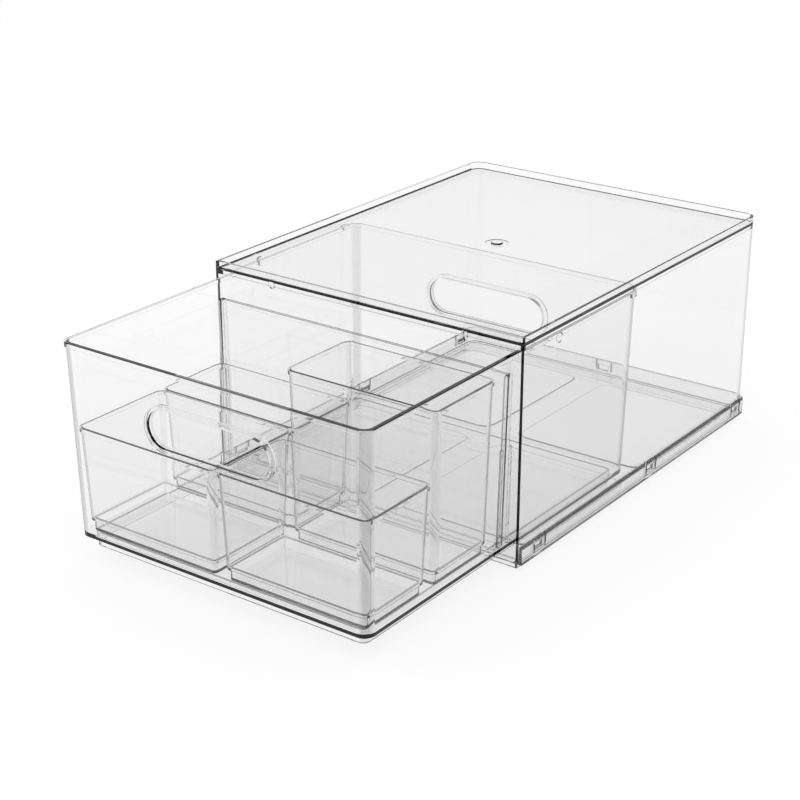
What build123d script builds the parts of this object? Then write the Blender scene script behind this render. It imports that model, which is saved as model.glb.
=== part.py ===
"""Stackable drawer box: a clear casing that holds one sliding drawer with lift-out bins and a divider.

Millimetres. Origin: centre of the casing's footprint on the table. +X right, +Y back, +Z up.
The drawer is shown half open, which is its rest position.
"""
from build123d import *
import math
import os

os.makedirs("parts", exist_ok=True)

# ---------------------------------------------------------------- driving dimensions
# casing
case_width = 290.0
case_depth = 368.0
case_height = 186.0
case_wall = 2.4
case_rear_radius = 11.0
lid_thickness = 2.8
lid_header_drop = 2.2
lid_header_width = 2.6
rim_height = 5.2
rim_width = 2.6
recess_bevel = 0.7
gate_ring_radius = 10.0
gate_ring_depth = 0.5
gate_nub_radius = 5.0
gate_nub_height = 1.0

# base tray under the casing
foot_height = 5.6
foot_wall = 2.4
stack_clearance = 0.8
tray_floor = 2.0
tray_lip_height = 14.5
tray_lip_wall = 3.0
tray_fit = 0.15
tray_lip_round = 2.4
panel_raise = 1.0
panel_side_margin = 9.0
panel_end_margin = 23.0
panel_gap = 24.0
panel_radius = 13.0
panel_slope_deg = 40.0

# snap tongues that hold the tray to the casing
tongue_width = 14.0
tongue_root = 3.2
slit_top_width = 2.4
slit_root_width = 1.0
barb_width = 10.0
barb_height = 4.6
barb_depth = 1.7
window_clearance = 0.4
front_tongue_place = 25.0
middle_tongue_share = 0.53
rear_tongue_inset = 22.0

# drawer
drawer_depth = 352.0
drawer_side_gap = 2.6
drawer_top_gap = 2.0
drawer_wall = 2.4
drawer_floor = 3.0
drawer_floor_height = 9.4
drawer_corner_radius = 10.0
drawer_draft = 3.0
drawer_bead_height = 3.4
drawer_bead_width = 1.2
drawer_bead_round = 0.7
drawer_run_gap = 0.05
drawer_open = 178.0
drawer_foot_inset = 8.0
drawer_foot_wall = 2.2
drawer_foot_radius = 6.0

# hand slots in the drawer's front and back walls
slot_length = 112.0
slot_height = 30.0
slot_below_rim = 45.0
collar_width = 2.8
collar_depth = 5.8
collar_stand_out = 0.6

# stops that end the drawer's travel
stop_place = 50.0
stop_radius = 4.0
stop_depth = 1.6
stop_drop = 7.0
lug_length = 7.0
lug_gap = 0.5
nub_width = 5.0
nub_thickness = 3.0
nub_length = 5.6
nub_side = 91.0
nub_setback = 3.8

# divider and its guides
divider_place = 172.5
divider_height = 137.0
divider_web = 2.0
divider_flange_width = 9.0
divider_flange_wall = 2.0
divider_bead_width = 3.4
divider_bead_height = 2.6
divider_side_gap = 0.8
divider_corner_radius = 3.0
guide_height = 79.0
guide_wall = 1.6
guide_reach = 2.4
guide_gap = 0.4

# lift-out bins
bin_gap = 1.2
bin_front_gap = 2.0
bin_wall = 1.6
bin_floor = 1.8
bin_corner_radius = 6.5
bin_bead_width = 0.9
bin_bead_height = 3.0
bin_draft = 2.6
bin_foot_height = 9.0
bin_foot_inset = 2.4
bin_rest_gap = 0.1
low_bin_height = 84.5
tall_bin_height = 136.5
large_bin_depth = 91.0
small_bin_depth = 74.5
tall_bin_place = 85.0

# ---------------------------------------------------------------- places worked out from them
front_y = -case_depth / 2
back_y = case_depth / 2
lid_top = case_height - rim_height
lid_under = lid_top - lid_thickness
tray_top = foot_height + tray_floor
tray_lip_top = foot_height + tray_lip_height
panel_top = tray_top + panel_raise

drawer_width = case_width - 2 * (case_wall + drawer_side_gap)
drawer_front = front_y - drawer_open
drawer_back = drawer_front + drawer_depth
drawer_mid = (drawer_front + drawer_back) / 2
drawer_foot_bottom = panel_top + drawer_run_gap
drawer_low = drawer_foot_bottom + drawer_floor_height
drawer_floor_top = drawer_low + drawer_floor
drawer_rim = lid_under - lid_header_drop - drawer_top_gap
slot_z = drawer_rim - slot_below_rim

bin_base = drawer_floor_top + bin_rest_gap


# ---------------------------------------------------------------- shared forms
def slab(width, depth, height, x, y, z, radius=0.0):
    """A block standing on z, centred on x and y, with rounded upright corners where a radius is given."""
    outline = RectangleRounded(width, depth, radius) if radius else Rectangle(width, depth)
    return Pos(x, y, z) * extrude(outline, height)


def casing_plan(offset):
    """The casing's outline in plan, moved in or out by an offset: square front corners, round back ones."""
    outline = Rectangle(case_width + 2 * offset, case_depth + 2 * offset)
    rear_corners = outline.vertices().group_by(Axis.Y)[-1]
    return fillet(rear_corners, case_rear_radius + offset)


def drafted(width, depth, radius, draft, z_low, z_high, z_rim, x=0.0, y=0.0, rise=1.0):
    """A block whose sides lean in towards the bottom: width and depth hold at z_rim, draft is per rise."""
    faces = []
    for z in (z_low, z_high):
        shrink = 2 * draft * (z_rim - z) / rise
        outline = RectangleRounded(width - shrink, depth - shrink, radius)
        faces.append(Pos(x, y, z) * outline)
    return loft(faces, ruled=True)


def stadium(length, height, depth, x, y, z):
    """A block with round ends, lying along X, whose face looks along Y and starts at y."""
    face = SlotOverall(length, height)
    return Pos(x, y, z) * Rot(-90, 0, 0) * extrude(face, depth)


# ---------------------------------------------------------------- casing shell
def tongue_spots():
    """Where the snap tongues stand: x, y and the angle that turns +X to the outward direction."""
    spots = []
    for place in (front_tongue_place, middle_tongue_share * case_depth, case_depth - rear_tongue_inset):
        spots.append((case_width / 2, front_y + place, 0))
        spots.append((-case_width / 2, front_y + place, 180))
    spots.append((0, back_y, 90))
    return spots


def snap_window(extra):
    """The hole that a barb enters, in the wall's own frame, larger than the barb by extra all round."""
    width = barb_width + 2 * extra
    height = barb_height + 2 * extra
    middle = tray_top + tongue_root + barb_height / 2
    return Pos(-case_wall / 2, 0, middle) * Box(3 * case_wall, width, height)


def make_casing_shell():
    tall = case_height - tray_top
    shell = Pos(0, 0, tray_top) * extrude(casing_plan(0), tall)
    room_height = lid_under - tray_top
    room = Pos(0, 0, tray_top) * extrude(casing_plan(-case_wall), room_height)
    mouth = slab(case_width - 2 * case_wall, case_wall * 4, room_height, 0, front_y, tray_top)
    recess = Pos(0, 0, lid_top) * extrude(casing_plan(-rim_width), rim_height)
    recess = chamfer(recess.edges().group_by(Axis.Z)[0], recess_bevel)
    shell = shell - room - mouth - recess
    header = casing_plan(0) - casing_plan(-case_wall - lid_header_width)
    shell += Pos(0, 0, lid_under - lid_header_drop) * extrude(header, lid_header_drop)
    for x, y, turn in tongue_spots():
        shell -= Pos(x, y, 0) * Rot(0, 0, turn) * snap_window(window_clearance)
    for side in (-1, 1):
        shell += stop_bump(side)
        shell += stop_nub(side)
    gate = Pos(0, 0, lid_top - gate_ring_depth)
    shell -= gate * extrude(Circle(gate_ring_radius), gate_ring_depth)
    nub = extrude(Circle(gate_nub_radius), gate_ring_depth + gate_nub_height)
    shell += gate * chamfer(nub.edges().group_by(Axis.Z)[-1], gate_nub_height / 2)
    return shell


def stop_bump(side):
    """The rounded bump inside a side wall that ends the drawer's travel."""
    inner_face = case_width / 2 - case_wall
    disc = extrude(Circle(stop_radius), stop_depth, taper=20)
    place = Pos(side * inner_face, front_y + stop_place, lid_under - stop_drop)
    return place * Rot(0, -90 * side, 0) * disc


def stop_nub(side):
    """The small tab with a round end that hangs under the lid just behind its front edge."""
    whole = SlotOverall(2 * nub_length, nub_width, rotation=90)
    lower_half = Pos(0, -nub_length) * Rectangle(nub_width, 2 * nub_length)
    tab = Rot(90, 0, 0) * extrude(whole & lower_half, nub_thickness)
    return Pos(side * nub_side, front_y + nub_setback + nub_thickness, lid_under) * tab


# ---------------------------------------------------------------- base tray
def floor_panels():
    """The four raised panels of the floor, as (x, y, width, depth)."""
    width = case_width / 2 - panel_side_margin - panel_gap / 2
    depth = case_depth / 2 - panel_end_margin - panel_gap / 2
    x = panel_gap / 2 + width / 2
    y = panel_gap / 2 + depth / 2
    return [(sx * x, sy * y, width, depth) for sx in (-1, 1) for sy in (-1, 1)]


def tongue_slit(side):
    """One tapered slit beside a tongue, open at the lip's top edge, in the wall's own frame."""
    inner = side * tongue_width / 2
    low = tray_top + tongue_root / 2
    high = tray_lip_top + 1
    corners = [
        (inner, low),
        (inner, high),
        (inner + side * slit_top_width, high),
        (inner + side * slit_root_width, low),
    ]
    outline = make_face(Polyline(*corners, close=True))
    return Pos(-tray_fit, 0, 0) * (Plane.YZ * extrude(outline, tray_lip_wall + 4 * tray_fit))


def tongue_barb():
    """The wedge on a tongue's inner face that enters the casing's window."""
    low = tray_top + tongue_root
    profile = Polyline(
        (tray_fit + tray_lip_wall / 2, low),
        (tray_fit - barb_depth, low),
        (tray_fit - barb_depth, low + 1),
        (tray_fit + tray_lip_wall / 2, low + barb_height),
        close=True,
    )
    wedge = extrude(Plane.XZ * make_face(profile), barb_width / 2, both=True)
    return wedge


def make_base_tray():
    outer = tray_fit + tray_lip_wall
    plate = Pos(0, 0, foot_height) * extrude(casing_plan(outer), tray_lip_height)
    well_height = tray_lip_height - tray_floor
    well = Pos(0, 0, tray_top) * extrude(casing_plan(tray_fit), well_height)
    reach = 2 * (outer + tray_fit)
    mouth_width = case_width + 2 * tray_fit
    mouth = slab(mouth_width, 2 * reach, well_height, 0, front_y, tray_top)
    front_trim = slab(case_width + 4 * outer, 2 * outer, tray_lip_height, 0, front_y - outer, foot_height)
    tray = plate - well - mouth - front_trim
    lip_edges = tray.edges().filter_by_position(Axis.Z, tray_lip_top - 0.01, tray_lip_top + 0.01)
    outer_edges = [e for e in lip_edges if outer_lip_edge(e)]
    tray = fillet(outer_edges, tray_lip_round)

    foot_outer = casing_plan(-rim_width - stack_clearance)
    foot_inner = casing_plan(-rim_width - stack_clearance - foot_wall)
    tray += extrude(foot_outer - foot_inner, foot_height)

    for x, y, width, depth in floor_panels():
        tray += raised_panel(x, y, width, depth, tray_top, 0)
        tray -= raised_panel(x, y, width, depth, foot_height, panel_raise)
    for x, y, turn in tongue_spots():
        spot = Pos(x, y, 0) * Rot(0, 0, turn)
        for side in (-1, 1):
            tray -= spot * tongue_slit(side)
        tray += spot * tongue_barb()
    return tray


def outer_lip_edge(edge):
    """True for an edge of the lip's top that runs round the outside of the side and back walls."""
    middle = edge @ 0.5
    inside = casing_plan(tray_fit + tray_lip_wall / 2).faces()[0]
    beyond = not inside.is_inside(Vector(middle.X, middle.Y, 0))
    return beyond and middle.Y > front_y + tray_lip_wall


def raised_panel(x, y, width, depth, z, inset):
    """One floor panel with sloping edges: inset leaves a wall when it is cut from below."""
    run = panel_raise * math.tan(math.radians(panel_slope_deg))
    low = RectangleRounded(width - 2 * inset, depth - 2 * inset, panel_radius - inset)
    high = RectangleRounded(
        width - 2 * inset - 2 * run, depth - 2 * inset - 2 * run, panel_radius - inset - run
    )
    return Pos(x, y, z) * loft([low, Pos(0, 0, panel_raise) * high], ruled=True)


# ---------------------------------------------------------------- drawer
def drawer_block(inset, z_low, z_high):
    """The drawer's tapered body, moved in from its outer wall by inset."""
    body_width = drawer_width - 2 * drawer_bead_width - 2 * inset
    body_depth = drawer_depth - 2 * drawer_bead_width - 2 * inset
    radius = drawer_corner_radius - drawer_bead_width - inset
    rise = drawer_rim - drawer_low
    return drafted(
        body_width, body_depth, radius, drawer_draft,
        z_low, z_high, drawer_rim, 0, drawer_mid, rise,
    )


def make_drawer():
    bead_low = drawer_rim - drawer_bead_height
    body = drawer_block(0, drawer_low, drawer_rim)
    bead = slab(drawer_width, drawer_depth, drawer_bead_height, 0, drawer_mid, bead_low, drawer_corner_radius)
    body += fillet(bead.edges().group_by(Axis.Z)[-1], drawer_bead_round)
    hollow = drawer_block(drawer_wall, drawer_floor_top, drawer_rim + 1)
    body -= hollow

    low_width = drawer_width - 2 * drawer_bead_width - 2 * drawer_draft
    low_depth = drawer_depth - 2 * drawer_bead_width - 2 * drawer_draft
    foot_width = low_width - 2 * drawer_foot_inset
    foot_depth = low_depth - 2 * drawer_foot_inset
    foot_outer = RectangleRounded(foot_width, foot_depth, drawer_foot_radius)
    foot_inner = RectangleRounded(
        foot_width - 2 * drawer_foot_wall,
        foot_depth - 2 * drawer_foot_wall,
        drawer_foot_radius - drawer_foot_wall,
    )
    ring = extrude(foot_outer - foot_inner, drawer_floor_height)
    body += Pos(0, drawer_mid, drawer_foot_bottom) * ring

    for face_y, inward in ((drawer_front, 1), (drawer_back, -1)):
        body = add_hand_slot(body, face_y, inward)
    body += divider_guides()
    for side in (-1, 1):
        body += stop_lug(side)
    return body


def add_hand_slot(body, face_y, inward):
    """Cuts a slot with round ends through an end wall and rings it with a collar."""
    outer_y = face_y + inward * (drawer_bead_width - collar_stand_out)
    start = outer_y if inward > 0 else outer_y - collar_depth
    ring_length = slot_length + 2 * collar_width
    ring_height = slot_height + 2 * collar_width
    body += stadium(ring_length, ring_height, collar_depth, 0, start, slot_z)
    through = stadium(slot_length, slot_height, 3 * collar_depth, 0, start - collar_depth, slot_z)
    return body - through


def divider_guides():
    """The pairs of low ribs on the side walls that the divider's flanges slide between."""
    top = drawer_floor_top + guide_height
    band = drawer_block(drawer_wall / 2, drawer_low + drawer_floor / 2, top)
    band -= drawer_block(drawer_wall + guide_reach, drawer_low, top + 1)
    y_mid = drawer_front + divider_place
    offset = divider_flange_width / 2 + guide_gap + guide_wall / 2
    open_width = drawer_width - 6 * drawer_wall - 2 * drawer_draft
    ribs = []
    for step in (-1, 1):
        y = y_mid + step * offset
        ribs.append(band & slab(drawer_width, guide_wall, case_height, 0, y, 0))
        ribs[-1] -= slab(open_width, 2 * guide_wall, case_height, 0, y, 0)
    return ribs[0] + ribs[1]


def stop_lug(side):
    """The lug at the back end of a side rim that meets the casing's stop bump when the drawer is full out."""
    outer = case_width / 2 - case_wall - lug_gap
    inner = drawer_width / 2 - drawer_bead_width
    x = side * (inner + outer) / 2
    y = drawer_back - drawer_corner_radius - lug_length / 2
    return slab(outer - inner, lug_length, drawer_bead_height, x, y, drawer_rim - drawer_bead_height)


# ---------------------------------------------------------------- divider
def make_divider():
    rise = drawer_rim - drawer_low
    lean = drawer_draft / rise
    low = drawer_floor_top + bin_rest_gap
    high = low + divider_height
    half_top = drawer_width / 2 - drawer_bead_width - drawer_wall - divider_side_gap
    half_high = half_top - lean * (drawer_rim - high)
    half_low = half_top - lean * (drawer_rim - low)
    y_mid = drawer_front + divider_place
    sheet = Polyline((-half_low, low), (half_low, low), (half_high, high), (-half_high, high), close=True)
    web = extrude(Plane.XZ * make_face(sheet), divider_web / 2, both=True)
    bead_half = half_high - divider_flange_wall / 2
    web += slab(2 * bead_half, divider_bead_width, divider_bead_height, 0, 0, high - divider_bead_height)
    for side in (-1, 1):
        strip = Polyline(
            (side * half_low, low),
            (side * half_high, high),
            (side * (half_high - divider_flange_wall), high),
            (side * (half_low - divider_flange_wall), low),
            close=True,
        )
        flange = extrude(Plane.XZ * make_face(strip), divider_flange_width / 2, both=True)
        top_edges = flange.edges().filter_by(Axis.X).group_by(Axis.Z)[-1]
        web += fillet(top_edges, divider_corner_radius)
    return Pos(0, y_mid, 0) * web


# ---------------------------------------------------------------- bins
def bin_columns():
    """Left and right edges of the two columns of bins, at the height of the low bins' rims."""
    rise = drawer_rim - drawer_low
    rim_z = bin_base + low_bin_height
    lean = drawer_draft * (drawer_rim - rim_z) / rise
    half = drawer_width / 2 - drawer_bead_width - drawer_wall - lean - bin_gap
    return (-half, -bin_gap / 2), (bin_gap / 2, half)


def make_bin(x_low, x_high, y_low, y_high, height):
    """A thin bin with leaning walls, round corners, a beaded rim and a stepped foot."""
    width = x_high - x_low - 2 * bin_bead_width
    depth = y_high - y_low - 2 * bin_bead_width
    x = (x_low + x_high) / 2
    y = (y_low + y_high) / 2
    rim = bin_base + height
    step = bin_base + bin_foot_height
    rise = rim - step
    radius = bin_corner_radius - bin_bead_width
    inner_radius = radius - bin_wall
    body = drafted(width, depth, radius, bin_draft, step, rim, rim, x, y, rise)
    body += slab(
        width + 2 * bin_bead_width, depth + 2 * bin_bead_width, bin_bead_height,
        x, y, rim - bin_bead_height, bin_corner_radius,
    )
    foot_width = width - 2 * bin_draft - 2 * bin_foot_inset
    foot_depth = depth - 2 * bin_draft - 2 * bin_foot_inset
    foot_radius = radius - bin_foot_inset
    body += slab(foot_width, foot_depth, bin_foot_height, x, y, bin_base, foot_radius)
    inner_width = width - 2 * bin_wall
    inner_depth = depth - 2 * bin_wall
    step_top = step + bin_wall
    body -= drafted(inner_width, inner_depth, inner_radius, bin_draft, step_top, rim + 1, rim, x, y, rise)
    body -= slab(
        foot_width - 2 * bin_wall, foot_depth - 2 * bin_wall, bin_foot_height + bin_wall,
        x, y, bin_base + bin_floor, foot_radius - bin_wall,
    )
    return body


def make_bins():
    left, right = bin_columns()
    inner_front = drawer_front + drawer_bead_width + drawer_wall + bin_front_gap
    lean = drawer_draft * (drawer_rim - bin_base - low_bin_height) / (drawer_rim - drawer_low)
    first = inner_front + lean
    second = first + large_bin_depth + bin_gap / 2
    flange_face = drawer_front + divider_place - divider_flange_width / 2
    tall = drawer_front + tall_bin_place
    return {
        "bin_front_left": make_bin(*left, first, first + large_bin_depth, low_bin_height),
        "bin_rear_left": make_bin(*left, second, flange_face - bin_gap / 2, low_bin_height),
        "bin_front_right": make_bin(*right, first, first + small_bin_depth, low_bin_height),
        "bin_rear_right_tall": make_bin(*right, tall, tall + small_bin_depth, tall_bin_height),
    }


# ---------------------------------------------------------------- all the pieces
def write_parts():
    pieces = {
        "casing_shell": make_casing_shell(),
        "base_tray": make_base_tray(),
        "drawer": make_drawer(),
        "divider": make_divider(),
    }
    pieces.update(make_bins())
    for name, piece in pieces.items():
        export_step(piece, f"parts/{name}.step")


write_parts()
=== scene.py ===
import math

import bpy
from mathutils import Matrix, Vector

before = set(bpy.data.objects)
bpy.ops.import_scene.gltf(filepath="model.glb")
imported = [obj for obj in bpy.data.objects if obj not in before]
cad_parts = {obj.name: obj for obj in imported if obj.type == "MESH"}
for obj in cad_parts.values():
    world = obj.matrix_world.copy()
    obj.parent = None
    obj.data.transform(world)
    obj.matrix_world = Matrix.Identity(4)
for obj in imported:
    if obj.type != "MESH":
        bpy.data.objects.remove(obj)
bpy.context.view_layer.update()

scene = bpy.context.scene


def grey(level):
    return (level, level, level, 1)


WHITE = grey(1.0)

# Camera: place in metres, angles in radians, sensor and lens in millimetres.
CAMERA_PLACE = (0.80469, -1.23710, 0.65727)
CAMERA_YAW = -0.6305923
CAMERA_DOWN = 0.3964538
CAMERA_ROLL = 0.0023278
CAMERA_SENSOR = 36.0
CAMERA_LENS = 84.36
CAMERA_NEAR_CLIP = 0.01

# Backdrop: its colour by height, 0 on the horizon and 1 straight overhead, as the camera sees it
# straight on, in a reflection or through the plastic, and its even colour as a light.
BACKDROP_STOPS = (
    (0.0, WHITE),
    (0.40, WHITE),
    (0.52, grey(0.12)),
    (0.86, grey(0.12)),
    (1.0, (0.5, 0.5, 0.52, 1)),
)
BACKDROP_LIGHT = grey(0.95)

# What the backdrop and the floor keep of their white after 0, 1, 2, 3 and 4 mirror bounces.
BOUNCE_GREYS = (1.0, 0.80, 0.44, 0.26, 0.12)

# Floor: size and height in metres, its colour, and the share of even white laid over its shadow.
FLOOR_SIZE = 24.0
FLOOR_HEIGHT = -0.0005
FLOOR_COLOUR = grey(0.9)
FLOOR_WHITE_SHARE = 0.86

# A ray crosses both sides of many clear walls before it leaves the box.
CLEAR_BOUNCES = 40
OTHER_BOUNCES = 16

# Clear plastic: refraction, smoke colour, the moulding's ripple (height in metres) and the fine
# smear, which goes from polish to haze between two levels of its noise.
REFRACTION = 1.49
SMOKE_COLOUR = (0.34, 0.34, 0.335, 1)
RIPPLE_DETAIL = 1.0
RIPPLE_STRENGTH = 0.06
RIPPLE_HEIGHT = 0.0006
SMEAR_SCALE = 38.0
SMEAR_DETAIL = 4.0
SMEAR_LOW = 0.45
SMEAR_HIGH = 0.75

# Where the painted corner shade starts and where it is full: 0 on a flat wall, 1 halfway round a
# corner.
CORNER_START = 0.12
CORNER_FULL = 0.75


# ---------------------------------------------------------------- camera
def photo_camera():
    """The photograph's view: from the front right, looking down on the open drawer."""
    sin_yaw, cos_yaw = math.sin(CAMERA_YAW), math.cos(CAMERA_YAW)
    sin_down, cos_down = math.sin(CAMERA_DOWN), math.cos(CAMERA_DOWN)
    sin_roll, cos_roll = math.sin(CAMERA_ROLL), math.cos(CAMERA_ROLL)
    ahead = Vector((sin_yaw * cos_down, cos_yaw * cos_down, -sin_down))
    level = Vector((cos_yaw, -sin_yaw, 0.0))
    above = level.cross(ahead)
    right = level * cos_roll + above * sin_roll
    up = above * cos_roll - level * sin_roll
    data = bpy.data.cameras.new("photo_camera")
    data.sensor_width = CAMERA_SENSOR
    data.lens = CAMERA_LENS
    data.clip_start = CAMERA_NEAR_CLIP
    camera = bpy.data.objects.new("photo_camera", data)
    turn = Matrix((right, up, -ahead)).transposed()
    camera.matrix_world = Matrix.Translation(CAMERA_PLACE) @ turn.to_4x4()
    scene.collection.objects.link(camera)
    scene.camera = camera


# ---------------------------------------------------------------- nodes used more than once
def math_node(tree, operation, *values):
    """The result of one Math node, where each value is a number or another node's output."""
    node = tree.nodes.new("ShaderNodeMath")
    node.operation = operation
    for socket, value in zip(node.inputs, values):
        if hasattr(value, "links"):
            tree.links.new(value, socket)
        else:
            socket.default_value = value
    return node.outputs[0]


def colour_ramp(tree, value, stops):
    """The colour that value picks out of stops, which are pairs of a position and a colour."""
    ramp = tree.nodes.new("ShaderNodeValToRGB")
    tree.links.new(value, ramp.inputs["Fac"])
    marks = ramp.color_ramp.elements
    marks[0].position, marks[0].color = stops[0]
    marks[1].position, marks[1].color = stops[-1]
    for position, colour in stops[1:-1]:
        marks.new(position).color = colour
    return ramp.outputs["Color"]


def noise(tree, place, scale, detail):
    node = tree.nodes.new("ShaderNodeTexNoise")
    node.inputs["Scale"].default_value = scale
    node.inputs["Detail"].default_value = detail
    tree.links.new(place, node.inputs["Vector"])
    return node.outputs["Fac"]


# ---------------------------------------------------------------- light, floor and backdrop
def seen_rays(tree):
    """1 for what the camera sees straight on, in a reflection or through the plastic, else 0."""
    path = tree.nodes.new("ShaderNodeLightPath")
    mirror_or_clear = math_node(
        tree, "MAXIMUM", path.outputs["Is Glossy Ray"], path.outputs["Is Transmission Ray"])
    return math_node(tree, "MAXIMUM", path.outputs["Is Camera Ray"], mirror_or_clear)


def bounce_shade(tree):
    """1 for what shows straight through, and less after each mirror bounce."""
    path = tree.nodes.new("ShaderNodeLightPath")
    last = len(BOUNCE_GREYS) - 1
    share = math_node(tree, "MULTIPLY", path.outputs["Glossy Depth"], 1 / last)
    stops = [(count / last, grey(level)) for count, level in enumerate(BOUNCE_GREYS)]
    return colour_ramp(tree, share, stops)


def studio_world():
    """White along the horizon and dark overhead, so that clear edges show as dark lines."""
    world = bpy.data.worlds.new("studio_world")
    world.use_nodes = True
    tree = world.node_tree
    background = tree.nodes["Background"]
    place = tree.nodes.new("ShaderNodeTexCoord")
    split = tree.nodes.new("ShaderNodeSeparateXYZ")
    tree.links.new(place.outputs["Generated"], split.inputs["Vector"])
    backdrop = colour_ramp(tree, split.outputs["Z"], BACKDROP_STOPS)
    mix = tree.nodes.new("ShaderNodeMix")
    mix.data_type = "RGBA"
    # A Mix node has an A, a B and a Result for each data type: 6, 7 and 2 are the colour ones.
    factor, light, seen = mix.inputs[0], mix.inputs[6], mix.inputs[7]
    light.default_value = BACKDROP_LIGHT
    tree.links.new(seen_rays(tree), factor)
    tree.links.new(backdrop, seen)
    tree.links.new(mix.outputs[2], background.inputs["Color"])
    tree.links.new(bounce_shade(tree), background.inputs["Strength"])
    scene.world = world


def floor_material():
    """White floor that keeps a faint shadow."""
    material = bpy.data.materials.new("pale_floor")
    material.use_nodes = True
    tree = material.node_tree
    tree.nodes.clear()
    out = tree.nodes.new("ShaderNodeOutputMaterial")
    lit = tree.nodes.new("ShaderNodeBsdfDiffuse")
    lit.inputs["Color"].default_value = FLOOR_COLOUR
    glow = tree.nodes.new("ShaderNodeEmission")
    glow.inputs["Color"].default_value = WHITE
    tree.links.new(bounce_shade(tree), glow.inputs["Strength"])
    mix = tree.nodes.new("ShaderNodeMixShader")
    factor, shadowed, white = mix.inputs
    tree.links.new(math_node(tree, "MULTIPLY", seen_rays(tree), FLOOR_WHITE_SHARE), factor)
    tree.links.new(lit.outputs[0], shadowed)
    tree.links.new(glow.outputs[0], white)
    tree.links.new(mix.outputs[0], out.inputs["Surface"])
    return material


def floor():
    bpy.ops.mesh.primitive_plane_add(size=FLOOR_SIZE, location=(0, 0, FLOOR_HEIGHT))
    plane = bpy.context.object
    plane.name = "floor"
    plane.data.materials.append(floor_material())


def softbox(name, place, target, side, watts):
    """A square lamp, side metres wide, that faces target."""
    data = bpy.data.lights.new(name, "AREA")
    data.shape = "RECTANGLE"
    data.size = side
    data.size_y = side
    data.energy = watts
    lamp = bpy.data.objects.new(name, data)
    lamp.location = place
    lamp.rotation_euler = (Vector(target) - Vector(place)).to_track_quat("-Z", "Y").to_euler()
    scene.collection.objects.link(lamp)


# ---------------------------------------------------------------- clear plastic
def corner_painted_shade(tree, normal, painted_shade_grey):
    """Painted shade: white on flat walls, and greyer, down to the grey given, where a wall turns
    an upright corner.
    """
    split = tree.nodes.new("ShaderNodeSeparateXYZ")
    tree.links.new(normal, split.inputs["Vector"])
    across = math_node(tree, "ABSOLUTE", split.outputs["X"])
    along = math_node(tree, "ABSOLUTE", split.outputs["Y"])
    turning = math_node(tree, "MULTIPLY", math_node(tree, "MULTIPLY", across, along), 2.0)
    return colour_ramp(tree, turning, ((CORNER_START, WHITE), (CORNER_FULL, grey(painted_shade_grey))))


def clear_plastic(name, density, ripple_scale, polish, haze, clearness, painted_shade_grey):
    """Polished clear plastic that is smoky only through its thickness.

    density is the smoke's strength per metre, ripple_scale the ripples per metre, polish and haze
    the least and the most roughness, and clearness the share of light that passes through.
    """
    material = bpy.data.materials.new(name)
    material.use_nodes = True
    tree = material.node_tree
    shader = tree.nodes["Principled BSDF"]
    out = tree.nodes["Material Output"]
    place = tree.nodes.new("ShaderNodeTexCoord")
    shader.inputs["Transmission Weight"].default_value = clearness
    shader.inputs["IOR"].default_value = REFRACTION
    # Painted shade: the base colour greys at upright corners, standing in for the dark lines that
    # refraction draws there.
    shaded_base_colour = corner_painted_shade(tree, place.outputs["Normal"], painted_shade_grey)
    tree.links.new(shaded_base_colour, shader.inputs["Base Color"])

    ripple = noise(tree, place.outputs["Object"], ripple_scale, RIPPLE_DETAIL)
    bump = tree.nodes.new("ShaderNodeBump")
    bump.inputs["Strength"].default_value = RIPPLE_STRENGTH
    bump.inputs["Distance"].default_value = RIPPLE_HEIGHT
    tree.links.new(ripple, bump.inputs["Height"])
    tree.links.new(bump.outputs["Normal"], shader.inputs["Normal"])

    smear = noise(tree, place.outputs["Object"], SMEAR_SCALE, SMEAR_DETAIL)
    spread = tree.nodes.new("ShaderNodeMapRange")
    spread.inputs["From Min"].default_value = SMEAR_LOW
    spread.inputs["From Max"].default_value = SMEAR_HIGH
    spread.inputs["To Min"].default_value = polish
    spread.inputs["To Max"].default_value = haze
    tree.links.new(smear, spread.inputs["Value"])
    tree.links.new(spread.outputs["Result"], shader.inputs["Roughness"])

    smoke = tree.nodes.new("ShaderNodeVolumeAbsorption")
    smoke.inputs["Color"].default_value = SMOKE_COLOUR
    smoke.inputs["Density"].default_value = density
    tree.links.new(smoke.outputs["Volume"], out.inputs["Volume"])
    return material


def dress(material, *nodes):
    for node in nodes:
        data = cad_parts[node].data
        data.materials.clear()
        data.materials.append(material)


photo_camera()
studio_world()
floor()
softbox("overhead_softbox", place=(0.1, -0.2, 1.6), target=(0, -0.1, 0), side=2.4, watts=12)
softbox("left_softbox", place=(-1.5, -0.9, 0.9), target=(0, -0.1, 0.1), side=1.6, watts=5)
scene.view_settings.view_transform = "Standard"
scene.cycles.max_bounces = CLEAR_BOUNCES
scene.cycles.transmission_bounces = CLEAR_BOUNCES
scene.cycles.glossy_bounces = OTHER_BOUNCES
scene.cycles.transparent_max_bounces = OTHER_BOUNCES

# Each plastic's last number is the grey of the shade painted at its upright corners.
casing_clear = clear_plastic(
    "casing_clear_plastic", density=3.0, ripple_scale=5.0,
    polish=0.0, haze=0.03, clearness=1.0, painted_shade_grey=0.99)
drawer_clear = clear_plastic(
    "drawer_clear_plastic", density=3.5, ripple_scale=6.0,
    polish=0.0, haze=0.03, clearness=1.0, painted_shade_grey=0.80)
insert_clear = clear_plastic(
    "insert_clear_plastic", density=1.5, ripple_scale=9.0,
    polish=0.0, haze=0.03, clearness=1.0, painted_shade_grey=0.90)
tray_clear = clear_plastic(
    "tray_clear_plastic", density=2.5, ripple_scale=5.0,
    polish=0.015, haze=0.07, clearness=0.94, painted_shade_grey=0.99)
dress(casing_clear, "casing_shell")
dress(tray_clear, "base_tray")
dress(drawer_clear, "drawer")
dress(insert_clear, "divider")
dress(insert_clear, "bin_front_left", "bin_rear_left", "bin_front_right", "bin_rear_right_tall")
